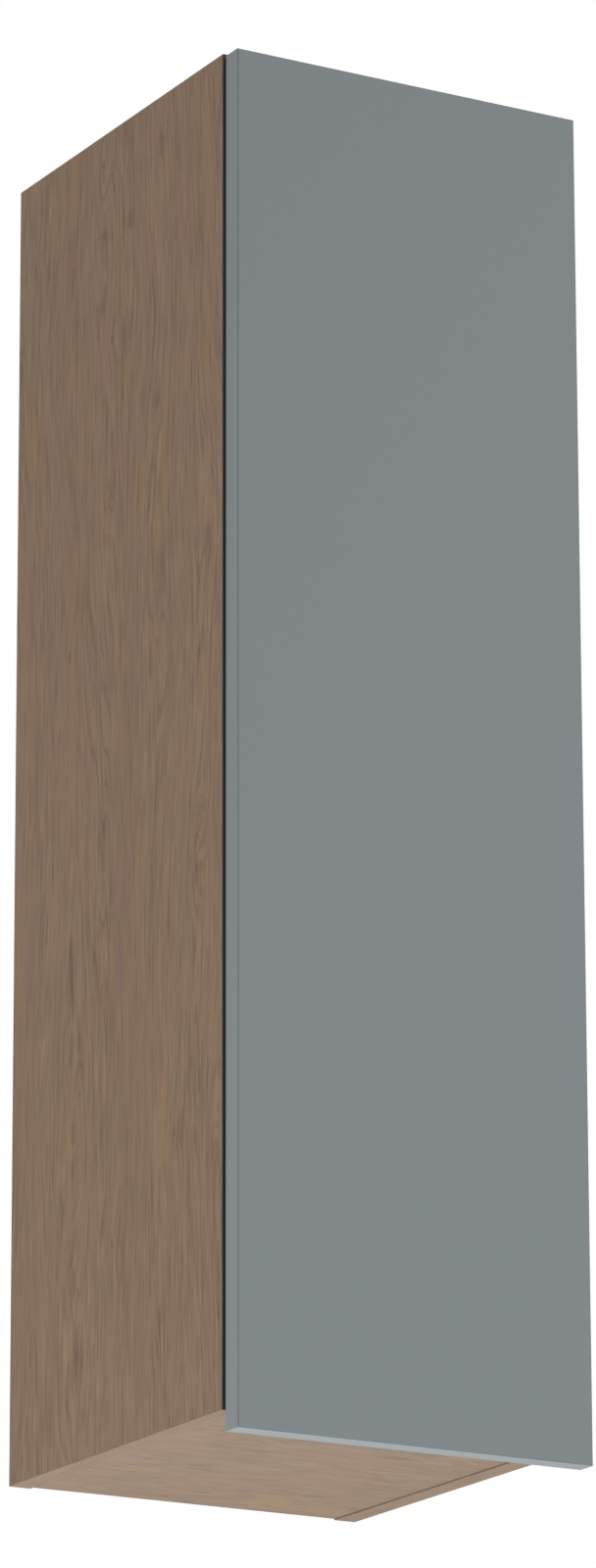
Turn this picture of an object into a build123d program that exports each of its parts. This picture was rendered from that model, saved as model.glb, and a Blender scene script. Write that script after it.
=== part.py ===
from build123d import *
import os

os.makedirs("parts", exist_ok=True)

# A tall, narrow wall cabinet with one handleless door on three concealed hinges.
# x runs to the right, y into the wall and z up. The origin is in the wall plane, midway
# between the two hanging hooks, at the height where the hooks bear on the wall fitting.

# Outside sizes of the carcass
carcass_width = 300.0
carcass_depth = 330.0
carcass_height = 1040.0
hang_drop = 52.0  # from the top of the carcass down to the line that the hooks bear on

# Boards and the strips glued to their edges
board = 18.0
edge_band = 1.0
fit_play = 0.05  # radial play of a pin, dowel or screw in its hole
floor_rise = 1.0  # the bottom panel lies this much above the lower ends of the side panels

# Door: it covers the whole front and hangs below the carcass as a finger grip
door_thickness = 18.0
door_gap = 2.0  # between the front edge of the carcass and the back of the door
door_side_reveal = 1.5
door_top_reveal = 2.0
door_overhang = 16.0
door_edge_radius = 1.0
bumper_radius = 4.0
bumper_inset = 8.0  # from the hidden edge of the side panel's front, and from its ends
bumper_play = 0.2

# Back panel, held in a groove near the wall
back_thickness = 3.0
back_recess = 18.0
groove_depth = 8.0
groove_play = 0.1
back_end_play = 0.5
notch_play = 9.0  # round each hook, at all its heights, in the cut-outs of the upper corners
notch_radius = 4.0

# Loose tongues glued into the corner joints
tongue_thickness = 4.0
tongue_width = 16.0
tongue_setback = 40.0  # from the front edge and from the wall plane
tongue_play = 0.05
tongue_end_play = 0.3

# Rows of holes for shelf pins and hinge plates
hole_pitch = 32.0
first_hole = 8.0  # height of hole number 0 above the bottom of the carcass
front_row_setback = 37.0
rear_row_setback = 60.0  # from the wall plane
pin_radius = 2.5
pin_depth = 8.0
pin_length = 16.0
hole_end_play = 0.5

# Shelves
shelf_side_play = 0.5
shelf_front_setback = 22.0
shelf_back_play = 1.0

# Hinges: the places of the linkage are measured from the inner front edge of the right side
# panel, outwards and into the cabinet, with the door closed.
hinge_names = ["bottom", "middle", "top"]
hinge_free_holes = 3  # holes left free below the lowest hinge and above the highest one
inner_ground = (-19.45, 5.54)  # pivots of the inner link: on the arm and in the cup
inner_cup = (4.4, -4.21)
outer_ground = (-18.5, 0.0)  # pivots of the outer link
outer_cup = (3.29, -4.93)
hinge_pin_radius = 1.0
outer_cup_slack = 0.52  # the outer link's eye in the cup is wider by this
link_half_width = 2.2
link_end_sides = 8
link_layer = (0.3, 6.3)  # how far each link lies from the hinge's middle plane
link_bends = [(0.0, 0.0), (0.25, 0.75), (0.5, 1.0), (0.75, 0.75), (1.0, 0.0)]  # along, and bow
inner_link_bow = 5.6
outer_link_bow = 3.0

cup_radius = 17.5
cup_fit = 0.05
cup_edge_distance = 22.5  # from the edge of the door to the middle of the cup
cup_depth = 12.0
cup_bottom_play = 0.2
cup_wall = 1.0
cup_mouth = 16.4
cup_mouth_sides = 24
cup_flange = 0.8
cup_flange_radius = 18.7
cup_wing_length = 54.0
cup_wing_width = 11.0
cup_wing_offset = 9.5
cup_wing_clip = 3.0

arm_sheet = 1.2
arm_half = 7.8
arm_web_setback = 23.4  # from the side panel to the arm's outer face
arm_rear = 60.0
arm_step = 26.0  # where the cheeks come down to the plate
arm_neck_setback = 12.5  # from the side panel to the cheeks in front of that step
arm_neck_length = 12.5
arm_web_front = 0.0
arm_nose = -1.7
arm_nose_near = 1.8  # the nose reaches this far to both sides of the outer link's pivot
arm_nose_far = 1.6
plate_base = 2.0
plate_base_half = 22.0
plate_base_length = 22.0
plate_rail = 10.0
plate_play = 0.2
cover_thickness = 1.0
cover_front = 12.0

# Hangers
hanger_sheet = 1.5
hanger_width = 16.0
hanger_length = 50.0
hanger_height = 60.0
hanger_rear_play = 1.0  # between the back panel's front and the rear of the hanger
hanger_boss_radius = 5.0
hanger_boss_length = 10.5
hanger_boss_setback = 15.0  # from the rear of the hanger
slide_play = 0.3
depth_travel = 6.0
height_travel = 8.0
carriage_sheet = 2.0
carriage_front = 13.0  # from the front of the hanger
carriage_length = 32.0
carriage_flange = 3.0
carriage_reach = 14.0
hook_sheet = 3.0
hook_front = -55.7
hook_tip = -8.0
hook_bearing = -12.0
hook_throat = -21.5
hook_half = 12.0
hook_foot_reach = 15.0
screw_radius = 2.5
screw_head_radius = 3.8
screw_head = 2.8
window_play = 0.75  # round a screw or its head in the windows that it shows through
depth_screw_setback = 10.0  # from the side panel to the screw's axis
depth_screw_z = 16.0
depth_screw_length = 23.0
height_screw_setback = 10.5
height_screw_y = -44.0
height_screw_length = 30.0
hanger_cover_wall = 1.2
hanger_cover_front_play = 3.6

# Places that follow from the sizes above
left_x = -carcass_width / 2
inner_half = carcass_width / 2 - board
front_y = -carcass_depth
top_z = hang_drop
bottom_z = top_z - carcass_height
floor_z = bottom_z + floor_rise
back_front_y = -(back_recess + back_thickness)
door_back_y = front_y - door_gap
door_bottom_z = bottom_z - door_overhang
door_top_z = top_z - door_top_reveal
door_height = door_top_z - door_bottom_z
door_width = carcass_width - 2 * door_side_reveal
door_mid_z = (door_top_z + door_bottom_z) / 2
front_row_y = front_y + front_row_setback
rear_row_y = -rear_row_setback
joint_zs = [floor_z + board / 2, top_z - board / 2]
tongue_mid_y = front_y / 2
tongue_length = carcass_depth - 2 * tongue_setback
last_hole = int((carcass_height - 2 * first_hole) // hole_pitch)
shelf_holes = [last_hole // 3, 2 * last_hole // 3]
hinge_holes = [hinge_free_holes, (last_hole - 1) // 2, last_hole - 1 - hinge_free_holes]


def hole_z(number):
    """Height of a hole of the 32 mm rows."""
    return bottom_z + first_hole + number * hole_pitch


def keep(piece, name):
    """Names a finished piece and writes it."""
    piece.part.label = name
    export_step(piece.part, f"parts/{name}.step")


def inner_face(side, y, z):
    """A plane on the inner face of a side panel, facing into the cabinet. Its y axis is up."""
    return Plane(origin=(side * inner_half, y, z), x_dir=(0, -side, 0), z_dir=(-side, 0, 0))


hinge_zs = [hole_z(number) + hole_pitch / 2 for number in hinge_holes]
cup_x = door_width / 2 - cup_edge_distance
hanger_rear_y = back_front_y - hanger_rear_play
hanger_front_y = hanger_rear_y - hanger_length
hanger_boss_y = hanger_rear_y - hanger_boss_setback
carriage_near = hanger_sheet + slide_play
carriage_far = carriage_near + carriage_sheet
hook_near = carriage_far + slide_play
hook_far = hook_near + hook_sheet


# Side panels: full height and depth, grooved for the back, bored on the inner face
def side_panel(side):
    with BuildPart() as panel:
        with BuildSketch(Plane.XY.offset(bottom_z + edge_band)):
            with Locations((side * (inner_half + board / 2), (front_y + edge_band) / 2)):
                Rectangle(board, carcass_depth - edge_band)
        extrude(amount=carcass_height - edge_band)
        with BuildSketch(Plane.XY.offset(bottom_z)):
            with Locations((side * (inner_half + groove_depth / 2), -back_recess - back_thickness / 2)):
                Rectangle(groove_depth, back_thickness + 2 * groove_play)
        extrude(amount=carcass_height, mode=Mode.SUBTRACT)
        with Locations(*[(side * inner_half, tongue_mid_y, z) for z in joint_zs]):
            Box(
                tongue_width + 2 * tongue_end_play,
                tongue_length + 2 * tongue_end_play,
                tongue_thickness + 2 * tongue_play,
                mode=Mode.SUBTRACT,
            )
        seats = [inner_face(side, y, hole_z(n)) for y in (front_row_y, rear_row_y) for n in shelf_holes]
        with Locations(*seats):
            Hole(pin_radius + fit_play, pin_depth + hole_end_play)
        with Locations(inner_face(side, hanger_boss_y, 0)):
            Hole(hanger_boss_radius + fit_play, hanger_boss_length + hole_end_play)
    return panel


keep(side_panel(-1), "side_panel_left")
keep(side_panel(1), "side_panel_right")


# Top and bottom panels: between the side panels, grooved for the back and the tongues
def end_panel(lower_z, groove_z):
    with BuildPart() as panel:
        with BuildSketch(Plane.XY.offset(lower_z)):
            with Locations((0, (front_y + edge_band) / 2)):
                Rectangle(2 * inner_half, carcass_depth - edge_band)
        extrude(amount=board)
        with BuildSketch(Plane.XY.offset(groove_z)):
            with Locations((0, -back_recess - back_thickness / 2)):
                Rectangle(2 * inner_half, back_thickness + 2 * groove_play)
        extrude(amount=groove_depth, mode=Mode.SUBTRACT)
        with Locations(*[(side * inner_half, tongue_mid_y, lower_z + board / 2) for side in (-1, 1)]):
            Box(
                tongue_width + 2 * tongue_end_play,
                tongue_length + 2 * tongue_end_play,
                tongue_thickness + 2 * tongue_play,
                mode=Mode.SUBTRACT,
            )
    return panel


keep(end_panel(top_z - board, top_z - board), "top_panel")
keep(end_panel(floor_z, floor_z + board - groove_depth), "bottom_panel")

with BuildPart() as tongues:
    with Locations(*[(side * inner_half, tongue_mid_y, z) for side in (-1, 1) for z in joint_zs]):
        Box(tongue_width, tongue_length, tongue_thickness)
keep(tongues, "joint_tongues")

# Back panel: thin board in the grooves, its upper corners cut out for the hangers
with BuildPart() as back_panel:
    back_half = inner_half + groove_depth - back_end_play
    back_low = floor_z + board - groove_depth + back_end_play
    back_high = top_z - board + groove_depth - back_end_play
    with BuildSketch(Plane.XZ.offset(back_recess)):
        with Locations((0, (back_low + back_high) / 2)):
            Rectangle(2 * back_half, back_high - back_low)
        notch_reach = back_half - inner_half + hook_far + notch_play
        notch_height = back_high + hook_half + height_travel + notch_play
        with Locations((-back_half, back_high), (back_half, back_high)):
            RectangleRounded(2 * notch_reach, 2 * notch_height, notch_radius, mode=Mode.SUBTRACT)
    extrude(amount=back_thickness)
keep(back_panel, "back_panel")

# Shelves and the steel pins that carry them
shelf_front_y = front_y + shelf_front_setback
shelf_back_y = back_front_y - shelf_back_play
shelf_width = 2 * (inner_half - shelf_side_play)
shelf_zs = [hole_z(number) + pin_radius for number in shelf_holes]
for name, shelf_z in zip(["lower", "upper"], shelf_zs):
    with BuildPart() as shelf:
        with BuildSketch(Plane.XY.offset(shelf_z)):
            with Locations((0, (shelf_front_y + edge_band + shelf_back_y) / 2)):
                Rectangle(shelf_width, shelf_back_y - shelf_front_y - edge_band)
        extrude(amount=board)
    keep(shelf, f"shelf_{name}")
    with BuildPart() as band:
        with BuildSketch(Plane.XY.offset(shelf_z)):
            with Locations((0, shelf_front_y + edge_band / 2)):
                Rectangle(shelf_width, edge_band)
        extrude(amount=board)
    keep(band, f"edge_band_shelf_{name}")

with BuildPart() as shelf_pins:
    for side in (-1, 1):
        for y in (front_row_y, rear_row_y):
            for number in shelf_holes:
                with BuildSketch(inner_face(side, y, hole_z(number)).offset(-pin_depth)):
                    Circle(pin_radius)
    extrude(amount=pin_length)
keep(shelf_pins, "shelf_pins")

# Edge bands: strips glued to the front edges and to the lower ends of the side panels
for name, side in (("left", -1), ("right", 1)):
    with BuildPart() as band:
        with BuildSketch(Plane.XY.offset(bottom_z)):
            with Locations((side * (inner_half + board / 2), front_y + edge_band / 2)):
                Rectangle(board, edge_band)
        extrude(amount=carcass_height)
    keep(band, f"edge_band_side_{name}")
    with BuildPart() as end_band:
        with BuildSketch(Plane.XY.offset(bottom_z)):
            with Locations((side * (inner_half + board / 2), (front_y + edge_band) / 2)):
                Rectangle(board, carcass_depth - edge_band)
        extrude(amount=edge_band)
    keep(end_band, f"end_band_{name}")
for name, lower_z in (("top", top_z - board), ("bottom", floor_z)):
    with BuildPart() as band:
        with BuildSketch(Plane.XY.offset(lower_z)):
            with Locations((0, front_y + edge_band / 2)):
                Rectangle(2 * inner_half, edge_band)
        extrude(amount=board)
    keep(band, f"edge_band_{name}_panel")

# Door: a plain slab, its front edges slightly rounded, bored for the hinge cups
cup_bore_depth = cup_depth + cup_bottom_play
with BuildPart() as door:
    with BuildSketch(Plane.XZ.offset(-door_back_y)):
        with Locations((0, door_mid_z)):
            Rectangle(door_width, door_height)
    extrude(amount=door_thickness)
    fillet(door.faces().sort_by(Axis.Y)[0].edges(), door_edge_radius)
    with BuildSketch(Plane.XZ.offset(-door_back_y)):
        with Locations(*[(cup_x, z) for z in hinge_zs]):
            Circle(cup_radius)
    extrude(amount=cup_bore_depth, mode=Mode.SUBTRACT)
keep(door, "door")

# Bumpers on the back of the door, where it meets the front edge of the left side panel
with BuildPart() as bumpers:
    with BuildSketch(Plane.XZ.offset(-door_back_y)):
        bumper_zs = (bottom_z + bumper_inset, top_z - bumper_inset)
        with Locations(*[(left_x + board / 2, z) for z in bumper_zs]):
            Circle(bumper_radius)
    extrude(amount=bumper_play - door_gap)
keep(bumpers, "door_bumpers")


# Hinge places, from the inner front edge of the right side panel to the cabinet's own axes
def hinge_point(place):
    return (inner_half + place[0], front_y + place[1])


def hinge_cup(z):
    """The cup pressed into the door, with the stub pins that carry the links."""
    rim_plane = Plane.XZ.offset(-door_back_y - cup_flange)
    with BuildPart() as cup:
        with BuildSketch(Plane.XZ.offset(-door_back_y)):
            with Locations((cup_x, z)):
                Circle(cup_radius - cup_fit)
        extrude(amount=cup_depth)
        with BuildSketch(rim_plane):
            with Locations((cup_x - cup_wing_offset, z)):
                Rectangle(cup_wing_width, cup_wing_length)
            chamfer(vertices(), cup_wing_clip)
            with Locations((cup_x, z)):
                Circle(cup_flange_radius)
        extrude(amount=cup_flange)
        with BuildSketch(rim_plane):
            with Locations((cup_x, z)):
                RegularPolygon(cup_radius - cup_fit - cup_wall, cup_mouth_sides)
                Rectangle(2 * cup_radius, cup_mouth, mode=Mode.INTERSECT)
        extrude(amount=cup_flange + cup_depth - cup_wall, mode=Mode.SUBTRACT)
        with BuildSketch(Plane.XY.offset(z - cup_mouth / 2)):
            with Locations(hinge_point(inner_cup)):
                Circle(hinge_pin_radius)
        extrude(amount=cup_mouth / 2 - link_layer[0] / 2)
        with BuildSketch(Plane.XY.offset(z + link_layer[0] / 2)):
            with Locations(hinge_point(outer_cup)):
                Circle(hinge_pin_radius)
        extrude(amount=cup_mouth / 2 - link_layer[0] / 2)
    return cup


def hinge_link(ground, cup, bow, low_z, ground_eye, cup_eye):
    """A bowed link between its pivot in the cup and its pivot on the arm."""
    start = Vector(*hinge_point(cup))
    end = Vector(*hinge_point(ground))
    sideways = (end - start).normalized().rotate(Axis.Z, 90)
    bends = [start + (end - start) * along + sideways * bow * rise for along, rise in link_bends]
    with BuildPart() as link:
        with BuildSketch(Plane.XY.offset(low_z)):
            with BuildLine():
                Polyline(*bends)
            trace(line_width=2 * link_half_width)
            with Locations(start, end):
                RegularPolygon(link_half_width, link_end_sides, major_radius=False)
            with Locations(end):
                Circle(ground_eye, mode=Mode.SUBTRACT)
            with Locations(start):
                Circle(cup_eye, mode=Mode.SUBTRACT)
        extrude(amount=link_layer[1] - link_layer[0])
    return link


def hinge_arm(z):
    """The arm: a folded channel over the plate, its front end holding the two fixed pins."""
    web_x, web_front = hinge_point((-arm_web_setback, arm_web_front))
    nose_far_x, nose_y = hinge_point((outer_ground[0] - arm_nose_far, arm_nose))
    nose_near_x = hinge_point((outer_ground[0] + arm_nose_near, arm_nose))[0]
    neck_x, step_y = hinge_point((-arm_neck_setback, arm_step))
    foot_x, rear_y = hinge_point((-plate_base, arm_rear))
    outline = [
        (web_x, web_front),
        (nose_far_x, web_front),
        (nose_far_x, nose_y),
        (nose_near_x, nose_y),
        (neck_x, step_y - arm_neck_length),
        (foot_x, step_y),
        (foot_x, rear_y),
        (web_x, rear_y),
    ]
    with BuildPart() as arm:
        with BuildSketch(Plane.XY.offset(z - arm_half)):
            Polygon(*outline, align=None)
        extrude(amount=2 * arm_half)
        with BuildSketch(Plane.XY.offset(z - arm_half + arm_sheet)):
            with Locations((web_x + arm_sheet, nose_y)):
                Rectangle(arm_web_setback, rear_y - nose_y, align=(Align.MIN, Align.MIN))
        extrude(amount=2 * (arm_half - arm_sheet), mode=Mode.SUBTRACT)
        with BuildSketch(Plane.XY.offset(z - arm_half + arm_sheet)):
            with Locations(hinge_point(inner_ground)):
                Circle(hinge_pin_radius)
        extrude(amount=2 * (arm_half - arm_sheet))
        with BuildSketch(Plane.XY.offset(z + link_layer[0] / 2)):
            with Locations(hinge_point(outer_ground)):
                Circle(hinge_pin_radius)
        extrude(amount=arm_half - arm_sheet - link_layer[0] / 2)
    return arm


def hinge_plate(z):
    """The mounting plate: a base on two holes of the row, and the rail under the arm."""
    rail_front_y = front_y + arm_step + plate_play
    rail_length = front_y + arm_rear - rail_front_y
    with BuildPart() as plate:
        with Locations((inner_half, front_row_y, z)):
            Box(
                plate_base,
                plate_base_length,
                2 * plate_base_half,
                align=(Align.MAX, Align.CENTER, Align.CENTER),
            )
        with Locations((inner_half, rail_front_y, z)):
            Box(
                plate_base,
                rail_length,
                2 * arm_half,
                align=(Align.MAX, Align.MIN, Align.CENTER),
            )
            Box(
                plate_base + plate_rail,
                rail_length,
                2 * (arm_half - arm_sheet - plate_play),
                align=(Align.MAX, Align.MIN, Align.CENTER),
            )
    return plate


def hinge_cover(z):
    """The cap clipped over the arm's screws."""
    with BuildPart() as cover:
        web_x = hinge_point((-arm_web_setback, 0))[0]
        with Locations((web_x, front_y + cover_front, z)):
            Box(
                cover_thickness,
                arm_rear - cover_front,
                2 * arm_half,
                align=(Align.MAX, Align.MIN, Align.CENTER),
            )
    return cover


loose_eye = hinge_pin_radius + outer_cup_slack
snug_eye = hinge_pin_radius + fit_play
for name, z in zip(hinge_names, hinge_zs):
    keep(hinge_cup(z), f"hinge_cup_{name}")
    keep(hinge_arm(z), f"hinge_arm_{name}")
    keep(hinge_plate(z), f"hinge_plate_{name}")
    keep(hinge_cover(z), f"hinge_cover_{name}")
    lower = hinge_link(inner_ground, inner_cup, inner_link_bow, z - link_layer[1], snug_eye, snug_eye)
    keep(lower, f"inner_link_{name}")
    upper = hinge_link(outer_ground, outer_cup, outer_link_bow, z + link_layer[0], snug_eye, loose_eye)
    keep(upper, f"outer_link_{name}")


# Hangers: drawn for the left side, and mirrored to the right. Each part's distance from the
# side panel runs towards the middle of the cabinet.
def sided(piece, side):
    """The same piece for the left side, or mirrored to the right."""
    with BuildPart() as placed:
        add(piece.part if side < 0 else mirror(piece.part, about=Plane.YZ))
    return placed


def hanger_box(near, far, front, rear, low, high):
    """A block between two distances from the left side panel, two depths and two heights."""
    with Locations((near - inner_half, front, low)):
        Box(far - near, rear - front, high - low, align=(Align.MIN, Align.MIN, Align.MIN))


def hanger_cut(near, far, front, rear, low, high):
    """The same block, cut away."""
    with Locations((near - inner_half, front, low)):
        Box(
            far - near,
            rear - front,
            high - low,
            align=(Align.MIN, Align.MIN, Align.MIN),
            mode=Mode.SUBTRACT,
        )


hanger_half = hanger_height / 2
inside_front = hanger_front_y + hanger_sheet
inside_half = hanger_half - hanger_sheet
head_window = screw_head_radius + window_play
shank_window = screw_radius + window_play
with BuildPart() as housing:
    hanger_box(0, hanger_width, hanger_front_y, hanger_rear_y, -hanger_half, hanger_half)
    hanger_cut(hanger_sheet, hanger_width, inside_front, hanger_rear_y, -inside_half, inside_half)
    hanger_cut(
        depth_screw_setback - shank_window,
        depth_screw_setback + shank_window,
        hanger_front_y,
        inside_front,
        depth_screw_z - shank_window,
        depth_screw_z + shank_window,
    )
    hanger_cut(
        height_screw_setback - head_window,
        height_screw_setback + head_window,
        height_screw_y - head_window - depth_travel,
        height_screw_y + head_window + depth_travel,
        -hanger_half,
        -inside_half,
    )
    with BuildSketch(Plane.YZ.offset(-inner_half)):
        with Locations((hanger_boss_y, 0)):
            Circle(hanger_boss_radius)
    extrude(amount=-hanger_boss_length)

# The carriage slides in the housing, towards the wall and back
carriage_y = hanger_front_y + carriage_front
carriage_half = inside_half - slide_play
with BuildPart() as carriage:
    hanger_box(
        carriage_near,
        carriage_far,
        carriage_y,
        carriage_y + carriage_length,
        -carriage_half,
        carriage_half,
    )
    hanger_box(
        carriage_near,
        carriage_reach,
        carriage_y,
        carriage_y + carriage_flange,
        -carriage_half,
        carriage_half,
    )
    hanger_box(
        carriage_near,
        carriage_reach,
        carriage_y,
        carriage_y + carriage_length - carriage_flange,
        -carriage_half,
        carriage_flange - carriage_half,
    )
    hanger_cut(
        height_screw_setback - screw_radius - slide_play,
        carriage_reach,
        height_screw_y - screw_radius - slide_play,
        height_screw_y + screw_radius + slide_play,
        -carriage_half,
        carriage_flange - carriage_half,
    )
    flange_middle = (depth_screw_setback - inner_half, carriage_y, depth_screw_z)
    with Locations(Plane(origin=flange_middle, x_dir=(1, 0, 0), z_dir=(0, -1, 0))):
        Hole(screw_radius + fit_play, carriage_flange)

# The hook slides up and down on the carriage and carries the cabinet
with BuildPart() as hook:
    hook_outline = [
        (hook_front, -hook_half),
        (hook_front, hook_half),
        (hook_tip, hook_half),
        (hook_tip, -hook_half),
        (hook_bearing, -hook_half),
        (hook_bearing, 0),
        (hook_throat, 0),
        (hook_throat, -hook_half),
    ]
    with BuildSketch(Plane.YZ.offset(hook_near - inner_half)):
        Polygon(*hook_outline, align=None)
    extrude(amount=hook_sheet)
    hanger_box(
        hook_near,
        hook_foot_reach,
        height_screw_y - 2 * screw_head_radius,
        height_screw_y + 2 * screw_head_radius,
        -hook_half,
        hook_sheet - hook_half,
    )
    with Locations((height_screw_setback - inner_half, height_screw_y, hook_sheet - hook_half)):
        Hole(screw_radius + fit_play, hook_sheet)

# The two adjusting screws: the heads are hexagonal and lie under windows of the cover
with BuildPart() as depth_screw:
    with BuildSketch(Plane.XZ.offset(-hanger_front_y + fit_play)):
        with Locations((depth_screw_setback - inner_half, depth_screw_z)):
            RegularPolygon(screw_head_radius, 6)
    extrude(amount=screw_head)
    with BuildSketch(Plane.XZ.offset(-hanger_front_y + fit_play)):
        with Locations((depth_screw_setback - inner_half, depth_screw_z)):
            Circle(screw_radius)
    extrude(amount=-depth_screw_length)
with BuildPart() as height_screw:
    with BuildSketch(Plane.XY.offset(-carriage_half - fit_play)):
        with Locations((height_screw_setback - inner_half, height_screw_y)):
            RegularPolygon(screw_head_radius, 6)
    extrude(amount=-screw_head)
    with BuildSketch(Plane.XY.offset(-carriage_half - fit_play)):
        with Locations((height_screw_setback - inner_half, height_screw_y)):
            Circle(screw_radius)
    extrude(amount=height_screw_length)

# The cover hides the hanger from inside the cabinet
cover_far = hanger_width + slide_play + hanger_cover_wall
cover_front_y = hanger_front_y - hanger_cover_front_play - hanger_cover_wall
cover_half = hanger_half + slide_play + hanger_cover_wall
with BuildPart() as hanger_cover:
    hanger_box(0, cover_far, cover_front_y, hanger_rear_y, -cover_half, cover_half)
    hanger_cut(
        0,
        cover_far - hanger_cover_wall,
        cover_front_y + hanger_cover_wall,
        hanger_rear_y,
        hanger_cover_wall - cover_half,
        cover_half - hanger_cover_wall,
    )
    hanger_cut(
        depth_screw_setback - head_window,
        depth_screw_setback + head_window,
        cover_front_y,
        hanger_front_y,
        depth_screw_z - head_window,
        depth_screw_z + head_window,
    )
    hanger_cut(
        height_screw_setback - head_window,
        height_screw_setback + head_window,
        height_screw_y - head_window - depth_travel,
        height_screw_y + head_window + depth_travel,
        -cover_half,
        -hanger_half,
    )

hanger_pieces = {
    "hanger_housing": housing,
    "hanger_carriage": carriage,
    "hanger_hook": hook,
    "depth_screw": depth_screw,
    "height_screw": height_screw,
    "hanger_cover": hanger_cover,
}
for name, piece in hanger_pieces.items():
    keep(sided(piece, -1), f"{name}_left")
    keep(sided(piece, 1), f"{name}_right")
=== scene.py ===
import math

import bmesh
import bpy
from mathutils import Matrix, Vector


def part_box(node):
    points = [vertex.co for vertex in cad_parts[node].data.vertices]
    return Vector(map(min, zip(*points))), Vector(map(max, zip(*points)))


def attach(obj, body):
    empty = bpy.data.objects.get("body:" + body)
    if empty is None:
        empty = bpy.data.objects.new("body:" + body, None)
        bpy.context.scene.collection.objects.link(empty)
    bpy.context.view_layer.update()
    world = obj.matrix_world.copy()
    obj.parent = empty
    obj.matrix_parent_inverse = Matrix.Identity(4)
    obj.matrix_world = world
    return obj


# Looks for the wall cabinet: oak-look laminate, a matt grey-blue door, plated fittings.
# Metres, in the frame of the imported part: +Y into the wall, +Z up.

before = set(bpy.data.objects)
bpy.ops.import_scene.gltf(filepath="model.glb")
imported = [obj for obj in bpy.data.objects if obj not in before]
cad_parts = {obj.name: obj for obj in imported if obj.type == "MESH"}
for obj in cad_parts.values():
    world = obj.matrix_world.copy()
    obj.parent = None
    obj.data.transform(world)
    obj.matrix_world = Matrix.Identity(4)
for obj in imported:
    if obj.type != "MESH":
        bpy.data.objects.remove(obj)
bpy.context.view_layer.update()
scene = bpy.context.scene

# Camera, fitted to the photograph's edges
CAMERA_PLACE = Vector((-2.570, -4.6855, -2.0035))
CAMERA_YAW = math.radians(29.69)
CAMERA_PITCH = math.radians(16.55)
CAMERA_ROLL = math.radians(-0.15)
FOCAL_PIXELS = 7249.8
IMAGE_HEIGHT = 1600
SENSOR = 36.0  # mm, along the image's longer side
CLIP_NEAR = 0.1
CLIP_FAR = 100.0

# Colours as they look under plain light, 0 to 255; a few of them paint in shade or light, as
# marked
OAK_LIGHT = (147, 123, 100)
OAK_MID = (128, 105, 85)
OAK_DARK = (99, 79, 61)
OAK_PORE = (74, 57, 44)
OAK_RED = (138, 105, 90)
OAK_GOLD = (140, 113, 82)
# painted light: the lower faces are tinted less yellow, as by a cooler light from below
UNDERSIDE_LIGHT_TINT = (0.94, 1.01, 1.08)  # the lower faces look less yellow
BOARD_CORE = (186, 163, 131)
BOARD_CHIP = (142, 116, 86)
HARDBOARD = (122, 93, 66)
# painted shade: the carcass's front edge bands are dark so that the gap behind the closed door
# looks shadowed
GAP_SHADE_BAND = (42, 34, 29)
DOOR_BLUE = (127, 134, 136)
# painted shade on the door's rounded edges, darker than the faces beside them
DOOR_CORNER_SHADE = (102, 108, 111)
BEECH = (205, 178, 143)
BUMPER = (196, 198, 199)
COVER_GREY = (188, 188, 186)
NICKEL = (214, 211, 204)
ZINC = (200, 202, 205)

# Layers of the oak: scale is in cycles per metre across the grain, along is its share along the
# grain and deep its share across the board's thickness
ARCH = {"scale": 12.0, "along": 0.16, "detail": 1.0}
WAVER = {"scale": 40.0, "along": 0.12, "detail": 2.0}
FIBRE = {"scale": 380.0, "along": 0.055, "detail": 2.0, "roughness": 0.8}
VEIN = {"scale": 170.0, "along": 0.025, "detail": 2.0, "roughness": 0.6}
BAND = {"scale": 42.0, "along": 0.02, "detail": 2.0}
DASH = {"scale": 520.0, "along": 0.05, "detail": 1.0}
TONE = {"scale": 8.0, "along": 0.3, "detail": 2.0}
RED = {"scale": 40.0, "along": 0.3, "detail": 1.0}
GOLD = {"scale": 70.0, "along": 0.14, "deep": 0.4, "detail": 1.0}

# How far the grain is bent aside, in metres
ARCH_BEND = 0.17
WAVER_BEND = 0.010
KNOT_PUSH = 0.013
FIBRE_BEND = 0.5  # fibres follow this share of the bend, so they stay fine where an arch closes
THICKNESS_SHARE = 0.3  # how fast the grain changes from face to face
RING_STEP = 0.0062  # between growth rings

# Knots, in cells of a pattern: KNOT_SCALE is in cells per metre
KNOT_SCALE = 8.0
KNOT_ALONG = 0.26
KNOT_REACH = 0.13
KNOT_CORE = 0.002
KNOT_RIM = 0.014
KNOT_DEPTH = 0.75

# Where a layer starts to show and where it shows in full
VEIN_WIDTH = 0.028
RING_SHOWS = (0.45, 1.0)
RING_BANDS = (0.38, 0.55)
PORE_SHOWS = (0.60, 0.66)
RED_SHOWS = (0.58, 0.76)
GOLD_SHOWS = (0.56, 0.72)

# How much each layer darkens or tints
FIBRE_WEIGHT = 1.35
VEIN_WEIGHT = 0.24
RING_WEIGHT = 0.15
BAND_WEIGHT = 0.12
TONE_WEIGHT = 0.20
GRAIN_MEAN = 0.09  # of the layers together, since veins and rings only darken
RED_WEIGHT = 0.45
GOLD_WEIGHT = 0.55
PORE_WEIGHT = 0.25
LOWER_CONTRAST = 0.6  # of the grain on the lower faces

# Bare chipboard and hardboard
CHIP_SCALE = 520.0
CHIP_ALONG = 0.45
CHIP_EDGE = (0.15, 0.75)
WEAVE_SCALE = 700.0
WEAVE_SHOWS = (0.3, 0.7)
WEAVE_WEIGHT = 0.35
FACE_SHOWS = (0.6, 0.9)  # share of the normal along an axis from which a face counts as facing it

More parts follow.
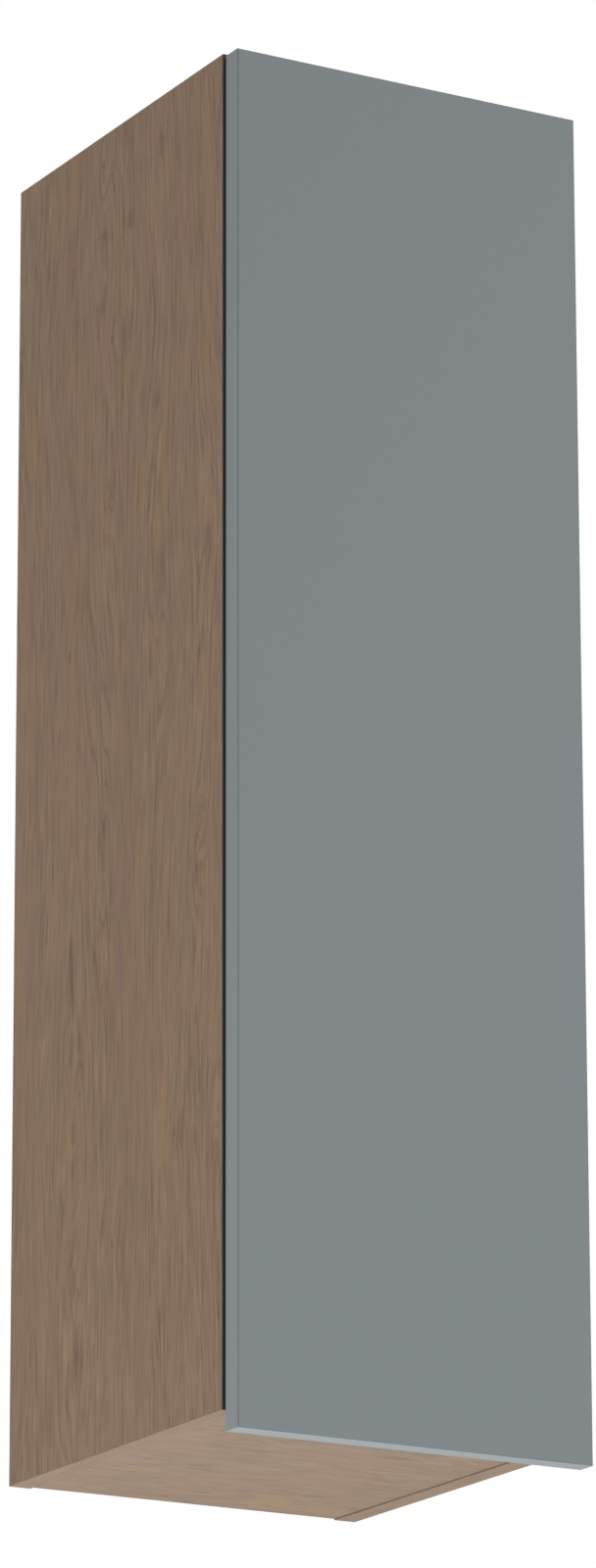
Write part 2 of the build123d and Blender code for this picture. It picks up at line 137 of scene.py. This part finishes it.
# Fine texture of the surfaces, in cycles per metre
VEIN_RELIEF = 0.4  # of the veins beside the fibres
PEEL_SCALE = 900.0  # of the door's foil
GRIT_SCALE = 1500.0  # of plastic
WEAR_SCALE = 1400.0  # of plated metal
WEAR_ALONG = 0.2
WEAR_SHOWS = (0.3, 0.7)
WEAR_ROUGHNESS = (0.85, 1.2)  # shares of the metal's own roughness

# The door's rounded edges, painted a little darker as shade: the largest share of the normal along
# one axis
CORNER_SHADE_STARTS = 0.985
CORNER_SHADE_FULL = 0.90

# Sockets of a colour mix, which share their names with those of its other kinds
MIX_FACTOR, MIX_A, MIX_B, MIX_RESULT = 0, 6, 7, 2


def linear(rgb):
    """A colour of the photograph as Blender's linear values."""
    def channel(value):
        value /= 255
        return value / 12.92 if value <= 0.04045 else ((value + 0.055) / 1.055) ** 2.4
    return (*[channel(value) for value in rgb], 1.0)


class Nodes:
    """Short calls for building one material's nodes."""

    def __init__(self, material):
        material.use_nodes = True
        self.material = material
        self.tree = material.node_tree
        self.shader = self.tree.nodes["Principled BSDF"]

    @classmethod
    def new(cls, name):
        return cls(bpy.data.materials.new(name))

    def add(self, kind, **values):
        node = self.tree.nodes.new(kind)
        for name, value in values.items():
            setattr(node, name, value)
        return node

    def link(self, source, target):
        self.tree.links.new(source, target)

    def coordinates(self, turn=(0, 0, 0), shift=(0, 0, 0), scale=(1, 1, 1)):
        place = self.add("ShaderNodeTexCoord")
        mapping = self.add("ShaderNodeMapping")
        mapping.inputs["Rotation"].default_value = turn
        mapping.inputs["Location"].default_value = shift
        mapping.inputs["Scale"].default_value = scale
        self.link(place.outputs["Object"], mapping.inputs["Vector"])
        return mapping.outputs["Vector"]

    def split(self, vector):
        node = self.add("ShaderNodeSeparateXYZ")
        self.link(vector, node.inputs["Vector"])
        return {axis: node.outputs[axis] for axis in "XYZ"}

    def join(self, x, y, z):
        node = self.add("ShaderNodeCombineXYZ")
        for socket, value in zip(node.inputs, (x, y, z)):
            self.link(value, socket)
        return node.outputs["Vector"]

    def stretch(self, vector, scale):
        mapping = self.add("ShaderNodeMapping")
        mapping.inputs["Scale"].default_value = scale
        self.link(vector, mapping.inputs["Vector"])
        return mapping.outputs["Vector"]

    def noise(self, vector, scale, detail=2.0, roughness=0.5):
        node = self.add("ShaderNodeTexNoise")
        node.inputs["Scale"].default_value = scale
        node.inputs["Detail"].default_value = detail
        node.inputs["Roughness"].default_value = roughness
        self.link(vector, node.inputs["Vector"])
        return node.outputs["Fac"]

    def layer(self, vector, scale, along, deep=1, detail=2.0, roughness=0.5):
        """Noise drawn out along the grain."""
        return self.noise(self.stretch(vector, (1, deep, along)), scale, detail, roughness)

    def span(self, value, low, high, to_low=0.0, to_high=1.0, smooth=True):
        node = self.add("ShaderNodeMapRange")
        node.interpolation_type = "SMOOTHSTEP" if smooth else "LINEAR"
        node.inputs["From Min"].default_value = low
        node.inputs["From Max"].default_value = high
        node.inputs["To Min"].default_value = to_low
        node.inputs["To Max"].default_value = to_high
        self.link(value, node.inputs["Value"])
        return node.outputs["Result"]

    def math(self, operation, a, b=None, clamp=False):
        node = self.add("ShaderNodeMath", operation=operation, use_clamp=clamp)
        for socket, value in zip(node.inputs, (a, b)):
            if value is None:
                continue
            if isinstance(value, (int, float)):
                socket.default_value = value
            else:
                self.link(value, socket)
        return node.outputs["Value"]

    def times(self, a, b):
        return self.math("MULTIPLY", a, b)

    def plus(self, total, *others):
        for value in others:
            total = self.math("ADD", total, value)
        return total

    def sway(self, noise, weight):
        """A noise around its middle, lighter and darker alike."""
        return self.times(self.math("SUBTRACT", noise, 0.5), weight)

    def mix(self, amount, a, b, blend="MIX"):
        node = self.add("ShaderNodeMix", data_type="RGBA", blend_type=blend)
        for number, value in ((MIX_FACTOR, amount), (MIX_A, a), (MIX_B, b)):
            if isinstance(value, (int, float, tuple)):
                node.inputs[number].default_value = value
            else:
                self.link(value, node.inputs[number])
        return node.outputs[MIX_RESULT]

    def bump(self, height, strength, distance):
        node = self.add("ShaderNodeBump")
        node.inputs["Strength"].default_value = strength
        node.inputs["Distance"].default_value = distance
        self.link(height, node.inputs["Height"])
        self.link(node.outputs["Normal"], self.shader.inputs["Normal"])

    def plain(self, roughness, metallic=0.0, specular=0.5):
        self.shader.inputs["Roughness"].default_value = roughness
        self.shader.inputs["Metallic"].default_value = metallic
        self.shader.inputs["Specular IOR Level"].default_value = specular


def facing(m, axis, sign):
    """1 where the surface faces the given way along an axis of the cabinet, else 0."""
    normal = m.split(m.add("ShaderNodeNewGeometry").outputs["Normal"])
    return m.span(normal[axis], *[sign * share for share in FACE_SHOWS])


def oak(name, turn, shift, core=(), cast=None, contrast=1.0):
    """Oak-look laminate. The turn brings the board's grain onto z and its width onto x.

    core lists the faces, as (axis, sign), that no laminate covers: they show the chipboard.
    cast, where given, multiplies the colour: it paints in the tint of a cooler light on the lower
    faces. contrast sets the strength of the grain.
    """
    m = Nodes.new(name)
    place = m.coordinates(turn=turn, shift=shift)
    x, y, z = m.split(place).values()
    # the grain runs along lines of equal flow: upright, with slow bends that close into arches,
    # and a few small knots that push it aside
    knots = m.add("ShaderNodeTexVoronoi", voronoi_dimensions="2D")
    knots.inputs["Scale"].default_value = KNOT_SCALE
    m.link(m.stretch(m.join(x, z, y), (1, KNOT_ALONG, 1)), knots.inputs["Vector"])
    eye = knots.outputs["Distance"]
    bend = m.plus(
        m.sway(m.layer(place, **ARCH), ARCH_BEND),
        m.sway(m.layer(place, **WAVER), WAVER_BEND),
        m.times(m.span(eye, 0.0, KNOT_REACH, 1.0, 0.0), KNOT_PUSH),
    )
    flow = m.plus(x, bend)
    across = m.times(y, THICKNESS_SHARE)
    grain_line = m.join(flow, across, z)
    fibre_line = m.join(m.plus(x, m.times(bend, FIBRE_BEND)), across, z)
    # fibres, dark veins, growth rings and short pores, all drawn along the flow
    fibre = m.layer(fibre_line, **FIBRE)
    vein = m.math("ABSOLUTE", m.math("SUBTRACT", m.layer(grain_line, **VEIN), 0.5))
    vein = m.span(vein, 0.0, VEIN_WIDTH, 1.0, 0.0)
    band = m.layer(grain_line, **BAND)
    ring = m.math("SINE", m.times(flow, 2 * math.pi / RING_STEP))
    ring = m.times(m.span(ring, *RING_SHOWS), m.span(band, *RING_BANDS))
    pore = m.span(m.layer(fibre_line, **DASH), *PORE_SHOWS)
    grain = m.plus(
        m.sway(fibre, FIBRE_WEIGHT),
        m.times(vein, VEIN_WEIGHT),
        m.times(ring, RING_WEIGHT),
        m.sway(band, BAND_WEIGHT),
        m.sway(m.layer(place, **TONE), TONE_WEIGHT),
        -GRAIN_MEAN,
    )
    level = m.math("ADD", m.times(grain, contrast), 0.5, clamp=True)
    # from light through mid to dark, then tints, pores and knots
    colour = m.mix(m.span(level, 0.0, 0.5, smooth=False), linear(OAK_LIGHT), linear(OAK_MID))
    colour = m.mix(m.span(level, 0.5, 1.0, smooth=False), colour, linear(OAK_DARK))
    red = m.span(m.layer(place, **RED), *RED_SHOWS, 0.0, RED_WEIGHT)
    gold = m.span(m.layer(place, **GOLD), *GOLD_SHOWS, 0.0, GOLD_WEIGHT)
    colour = m.mix(red, colour, linear(OAK_RED))
    colour = m.mix(gold, colour, linear(OAK_GOLD))
    colour = m.mix(m.times(pore, PORE_WEIGHT * contrast), colour, linear(OAK_PORE))
    colour = m.mix(m.span(eye, KNOT_CORE, KNOT_RIM, KNOT_DEPTH, 0.0), colour, linear(OAK_PORE))
    # painted light: the tint of a cooler light on the lower faces
    if cast:
        colour = m.mix(1.0, colour, (*cast, 1.0), blend="MULTIPLY")
    if core:
        chips = m.add("ShaderNodeTexVoronoi")
        chips.inputs["Scale"].default_value = CHIP_SCALE
        m.link(m.stretch(place, (1, 1, CHIP_ALONG)), chips.inputs["Vector"])
        shade = m.span(chips.outputs["Distance"], *CHIP_EDGE)
        bare = m.mix(shade, linear(BOARD_CORE), linear(BOARD_CHIP))
        for axis, sign in core:
            colour = m.mix(facing(m, axis, sign), colour, bare)
    m.link(colour, m.shader.inputs["Base Color"])
    m.plain(roughness=0.62, specular=0.22)
    m.bump(m.plus(fibre, m.times(vein, VEIN_RELIEF)), strength=0.25, distance=-0.0006)
    return m.material


def back_board():
    """Thin board of the back: oak-look towards the inside, plain hardboard towards the wall."""
    m = Nodes(oak("oak_back", turn=(0, 0, 0), shift=(0.03, 0.40, 2.10)))
    colour = m.shader.inputs["Base Color"]
    front = colour.links[0].from_socket
    weave = m.noise(m.coordinates(), WEAVE_SCALE, detail=3.0, roughness=0.7)
    weave = m.span(weave, *WEAVE_SHOWS, 0.0, WEAVE_WEIGHT)
    rear = m.mix(weave, linear(HARDBOARD), linear(BOARD_CHIP))
    m.link(m.mix(facing(m, "Y", 1), front, rear), colour)
    return m.material


def door_finish():
    """Matt grey-blue foil with a very faint orange-peel, its rounded edges painted a little darker
    as shade.
    """
    m = Nodes.new("door_foil")
    place = m.add("ShaderNodeTexCoord")
    flat = None
    for share in m.split(place.outputs["Normal"]).values():
        size = m.math("ABSOLUTE", share)
        flat = size if flat is None else m.math("MAXIMUM", flat, size)
    # painted shade: darker where the normal leans between two axes, on the rounded edges
    edge = m.span(flat, CORNER_SHADE_STARTS, CORNER_SHADE_FULL)
    m.link(m.mix(edge, linear(DOOR_BLUE), linear(DOOR_CORNER_SHADE)), m.shader.inputs["Base Color"])
    m.plain(roughness=0.6, specular=0.25)
    m.bump(m.noise(place.outputs["Object"], PEEL_SCALE), strength=0.04, distance=0.0002)
    return m.material


def plated(name, colour, roughness):
    """Plated steel or die-cast zinc with faint directional wear."""
    m = Nodes.new(name)
    m.shader.inputs["Base Color"].default_value = linear(colour)
    m.plain(roughness=roughness, metallic=1.0)
    wear = m.noise(m.coordinates(scale=(1, 1, WEAR_ALONG)), WEAR_SCALE)
    rough = m.span(wear, *WEAR_SHOWS, *[roughness * share for share in WEAR_ROUGHNESS])
    m.link(rough, m.shader.inputs["Roughness"])
    m.bump(wear, strength=0.02, distance=0.00001)
    return m.material


def plastic(name, colour, roughness):
    """A plain colour with a very fine texture."""
    m = Nodes.new(name)
    m.shader.inputs["Base Color"].default_value = linear(colour)
    m.plain(roughness=roughness)
    m.bump(m.noise(m.coordinates(), GRIT_SCALE), strength=0.05, distance=0.0001)
    return m.material


# Boards: the grain runs up the sides, back and bands, and from side to side on the others.
# Each board is cut from its own place in the oak pattern. Rear edges and upper ends are bare.
QUARTER = math.pi / 2
UPRIGHT_SIDE = (0, 0, QUARTER)
LEVEL_BOARD = (0, QUARTER, 0)
DEEP_BAND = (QUARTER, 0, 0)
BARE_REAR = (("Y", 1),)
BARE_REAR_AND_TOP = (("Y", 1), ("Z", 1))
# the lower faces: a painted cooler light on their colour, and weaker grain
LOWER_FACE = {"cast": UNDERSIDE_LIGHT_TINT, "contrast": LOWER_CONTRAST}
finish_of = {
    "side_panel_left": oak("oak_side_left", UPRIGHT_SIDE, (0.11, 0.02, 0.35), BARE_REAR_AND_TOP),
    "side_panel_right": oak("oak_side_right", UPRIGHT_SIDE, (0.19, 0.31, 1.40), BARE_REAR_AND_TOP),
    "back_panel": back_board(),
    "top_panel": oak("oak_top", LEVEL_BOARD, (0.6, 0.2, 3.0), BARE_REAR),
    "bottom_panel": oak("oak_bottom", LEVEL_BOARD, (1.02, 0.12, 4.0), BARE_REAR, **LOWER_FACE),
    "shelf_lower": oak("oak_shelf_lower", LEVEL_BOARD, (0.7, 0.5, 5.0), BARE_REAR),
    "shelf_upper": oak("oak_shelf_upper", LEVEL_BOARD, (0.3, 0.9, 6.0), BARE_REAR),
    "end_band_left": oak("oak_end_left", DEEP_BAND, (0.13, 0.70, 0.30), **LOWER_FACE),
    "end_band_right": oak("oak_end_right", DEEP_BAND, (0.28, 0.40, 1.30), **LOWER_FACE),
    "door": door_finish(),
    "joint_tongues": plastic("raw_beech", BEECH, roughness=0.7),
    "door_bumpers": plastic("clear_bumper", BUMPER, roughness=0.35),
}
level_band = oak("oak_band_level", LEVEL_BOARD, (0.40, 0.60, 7.0))
# the front edge bands take a dark colour, painted shade of the gap behind the door
front_band = plastic("front_band", GAP_SHADE_BAND, roughness=0.6)
nickel = plated("nickel_plate", NICKEL, roughness=0.40)
zinc = plated("zinc_plate", ZINC, roughness=0.45)
cover_grey = plastic("cover_plastic", COVER_GREY, roughness=0.45)
# the rest by the first words of their names: the first match counts
families = {
    "edge_band_shelf": level_band,
    "edge_band": front_band,
    "shelf_pins": nickel,
    "hinge_": nickel,
    "inner_link": nickel,
    "outer_link": nickel,
    "hanger_cover": cover_grey,
    "hanger_": zinc,
    "depth_screw": zinc,
    "height_screw": zinc,
}
for name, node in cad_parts.items():
    finish = finish_of.get(name)
    if finish is None:
        finish = families[next(word for word in families if name.startswith(word))]
    node.data.materials.clear()
    node.data.materials.append(finish)


# Screw heads of the hinges: two on each mounting plate, two on each cup
PLATE_SCREW_RISE = 0.016  # from the middle of the hinge, up and down
PLATE_ROW = 0.037  # from the front of the carcass to the row of holes
PLATE_BASE = 0.002
PLATE_SCREW = {"radius": 0.0034, "height": 0.0016}
CUP_SCREW_RISE = 0.0225
CUP_WING_IN = 0.0095  # from the middle of the cup towards the inside
CUP_WING_THICK = 0.0008
CUP_EDGE = 0.0225  # from the edge of the door to the middle of the cup
CUP_SCREW = {"radius": 0.0030, "height": 0.0011}

# The head's outline as shares of its radius and height, and its cross recess: reach and half
# width of the arms as shares of the radius, the floor as a share of the height
HEAD_OUTLINE = ((1.0, 0.0), (1.0, 0.3), (0.86, 0.75), (0.62, 1.0))
HEAD_SIDES = 24
RECESS_BRIM = (0.5, 0.13)
RECESS_WELL = (0.36, 0.08)
RECESS_FLOOR = 0.35


def closed_loop(bm, outline, z):
    """Vertices along the outline at height z, with the edges between them."""
    corners = [bm.verts.new((x, y, z)) for x, y in outline]
    edges = [bm.edges.new(pair) for pair in zip(corners, corners[1:] + corners[:1])]
    return corners, edges


def circle(radius):
    turns = [2 * math.pi * i / HEAD_SIDES for i in range(HEAD_SIDES)]
    return [(radius * math.cos(turn), radius * math.sin(turn)) for turn in turns]


def cross(radius, shares):
    """A plus sign, counter-clockwise: shares give the reach and half width of its arms."""
    reach, half_width = [share * radius for share in shares]
    arm = ((reach, -half_width), (reach, half_width), (half_width, half_width))
    outline = []
    for c, s in ((1, 0), (0, 1), (-1, 0), (0, -1)):
        outline += [(c * x - s * y, s * x + c * y) for x, y in arm]
    return outline


def join_loops(bm, low, high):
    for i in range(len(low)):
        j = (i + 1) % len(low)
        bm.faces.new((low[i], low[j], high[j], high[i]))


def screw_heads(name, body, seats, out, radius, height):
    """Pan heads with a cross recess, as one piece: seats are their places, out their facing."""
    bm = bmesh.new()
    rings = [
        closed_loop(bm, circle(share * radius), rise * height) for share, rise in HEAD_OUTLINE
    ]
    for (low, _), (high, _) in zip(rings, rings[1:]):
        join_loops(bm, low, high)
    bm.faces.new(list(reversed(rings[0][0])))
    brim, brim_edges = closed_loop(bm, cross(radius, RECESS_BRIM), height)
    well, _ = closed_loop(bm, cross(radius, RECESS_WELL), RECESS_FLOOR * height)
    bmesh.ops.triangle_fill(bm, use_beauty=True, edges=rings[-1][1] + brim_edges)
    join_loops(bm, brim, well)
    bm.faces.new(well)
    bmesh.ops.recalc_face_normals(bm, faces=bm.faces)
    one = bpy.data.meshes.new(name + "_one")
    bm.to_mesh(one)
    bm.clear()
    turn = Vector(out).to_track_quat("Z", "Y").to_matrix().to_4x4()
    for seat in seats:
        copy = one.copy()
        copy.transform(Matrix.Translation(seat) @ turn)
        bm.from_mesh(copy)
        bpy.data.meshes.remove(copy)
    mesh = bpy.data.meshes.new(name)
    bm.to_mesh(mesh)
    bm.free()
    bpy.data.meshes.remove(one)
    piece = bpy.data.objects.new(name, mesh)
    scene.collection.objects.link(piece)
    mesh.materials.append(nickel)
    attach(piece, body)


row_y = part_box("edge_band_side_right")[0][1] + PLATE_ROW
door_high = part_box("door")[1]
wing_x = door_high[0] - CUP_EDGE - CUP_WING_IN
wing_y = door_high[1] + CUP_WING_THICK
plate_seats, cup_seats = [], []
for level in ("bottom", "middle", "top"):
    plate_low, plate_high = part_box(f"hinge_plate_{level}")
    plate_x = plate_high[0] - PLATE_BASE
    middle_z = (plate_low[2] + plate_high[2]) / 2
    for way in (-1, 1):
        plate_seats.append((plate_x, row_y, middle_z + way * PLATE_SCREW_RISE))
        cup_seats.append((wing_x, wing_y, middle_z + way * CUP_SCREW_RISE))
screw_heads("hinge_plate_screws", "cabinet", plate_seats, out=(-1, 0, 0), **PLATE_SCREW)
screw_heads("hinge_cup_screws", "door", cup_seats, out=(0, 1, 0), **CUP_SCREW)


# Stage: a pale floor well below the cabinet, and a white surround for the camera
FLOOR_Z = -2.35
FLOOR_SIZE = 16.0
FLOOR_PALE = 0.92
FLOOR_NEAR = 0.6  # the floor turns into the white surround between these distances
FLOOR_FAR = 2.6
FLOOR_WHITE = 0.3  # share of white at the near distance
SURROUND_LIGHT = 0.62
SURROUND_SEEN = 1.0


def floor_finish():
    """Pale paint that keeps the shadow, fading to plain white outwards, and open from below."""
    m = Nodes.new("floor_pale")
    m.shader.inputs["Base Color"].default_value = (FLOOR_PALE, FLOOR_PALE, FLOOR_PALE, 1)
    m.plain(roughness=0.9, specular=0.1)
    place = m.add("ShaderNodeTexCoord")
    distance = m.add("ShaderNodeVectorMath", operation="LENGTH")
    m.link(place.outputs["Object"], distance.inputs[0])
    fade = m.span(distance.outputs["Value"], FLOOR_NEAR, FLOOR_FAR, FLOOR_WHITE, 1.0)
    rays = m.add("ShaderNodeLightPath")
    white = m.add("ShaderNodeEmission")
    painted = m.add("ShaderNodeMixShader")
    m.link(m.times(fade, rays.outputs["Is Camera Ray"]), painted.inputs[0])
    m.link(m.shader.outputs["BSDF"], painted.inputs[1])
    m.link(white.outputs["Emission"], painted.inputs[2])
    geometry = m.add("ShaderNodeNewGeometry")
    clear = m.add("ShaderNodeBsdfTransparent")
    whole = m.add("ShaderNodeMixShader")
    m.link(geometry.outputs["Backfacing"], whole.inputs[0])
    m.link(painted.outputs["Shader"], whole.inputs[1])
    m.link(clear.outputs["BSDF"], whole.inputs[2])
    m.link(whole.outputs["Shader"], m.tree.nodes["Material Output"].inputs["Surface"])
    return m.material


bpy.ops.mesh.primitive_plane_add(size=FLOOR_SIZE, location=(0, 0, FLOOR_Z))
floor = bpy.context.object
floor.name = "floor"
floor.data.materials.append(floor_finish())

# The surround lights the cabinet softly, and is white to the camera and in reflections
world = bpy.data.worlds.new("studio")
scene.world = world
world.use_nodes = True
tree = world.node_tree
background = tree.nodes["Background"]
background.inputs["Color"].default_value = (1, 1, 1, 1)
rays = tree.nodes.new("ShaderNodeLightPath")
seen = rays.outputs["Is Camera Ray"]
for kind in ("Is Glossy Ray", "Is Transmission Ray"):
    either = tree.nodes.new("ShaderNodeMath")
    either.operation = "MAXIMUM"
    tree.links.new(seen, either.inputs[0])
    tree.links.new(rays.outputs[kind], either.inputs[1])
    seen = either.outputs["Value"]
strength = tree.nodes.new("ShaderNodeMapRange")
strength.inputs["To Min"].default_value = SURROUND_LIGHT
strength.inputs["To Max"].default_value = SURROUND_SEEN
tree.links.new(seen, strength.inputs["Value"])
tree.links.new(strength.outputs["Result"], background.inputs["Strength"])


def lamp(name, place, aim, size, power):
    """A soft square lamp that the camera doesn't see, its power in watts."""
    light = bpy.data.lights.new(name, "AREA")
    light.shape = "SQUARE"
    light.size = size
    light.energy = power
    lamp_object = bpy.data.objects.new(name, light)
    lamp_object.visible_camera = False
    scene.collection.objects.link(lamp_object)
    lamp_object.location = place
    lamp_object.rotation_euler = (Vector(aim) - Vector(place)).to_track_quat("-Z", "Y").to_euler()


lamp("key_front_left", (-2.2, -3.4, -0.4), aim=(0.0, -0.16, -0.47), size=2.2, power=24)
lamp("low_left", (-1.7, -0.25, -1.5), aim=(-0.15, -0.17, -0.85), size=0.8, power=4.5)
lamp("fill_right", (1.3, -1.5, -0.15), aim=(0.15, -0.35, -0.30), size=1.0, power=6.4)
lamp("bounce_below", (-0.2, -0.3, -2.2), aim=(-0.2, -0.3, -1.0), size=1.4, power=19)

lens = bpy.data.cameras.new("camera")
lens.sensor_fit = "AUTO"
lens.sensor_width = SENSOR
lens.lens = FOCAL_PIXELS * SENSOR / IMAGE_HEIGHT
lens.clip_start = CLIP_NEAR
lens.clip_end = CLIP_FAR
camera = bpy.data.objects.new("camera", lens)
scene.collection.objects.link(camera)
scene.camera = camera
forward = Vector((
    math.sin(CAMERA_YAW) * math.cos(CAMERA_PITCH),
    math.cos(CAMERA_YAW) * math.cos(CAMERA_PITCH),
    math.sin(CAMERA_PITCH),
))
level_right = Vector((math.cos(CAMERA_YAW), -math.sin(CAMERA_YAW), 0))
level_up = level_right.cross(forward)
right = math.cos(CAMERA_ROLL) * level_right + math.sin(CAMERA_ROLL) * level_up
up = math.cos(CAMERA_ROLL) * level_up - math.sin(CAMERA_ROLL) * level_right
turned = Matrix((right, up, -forward)).transposed().to_4x4()
camera.matrix_world = Matrix.Translation(CAMERA_PLACE) @ turned

scene.view_settings.view_transform = "Standard"
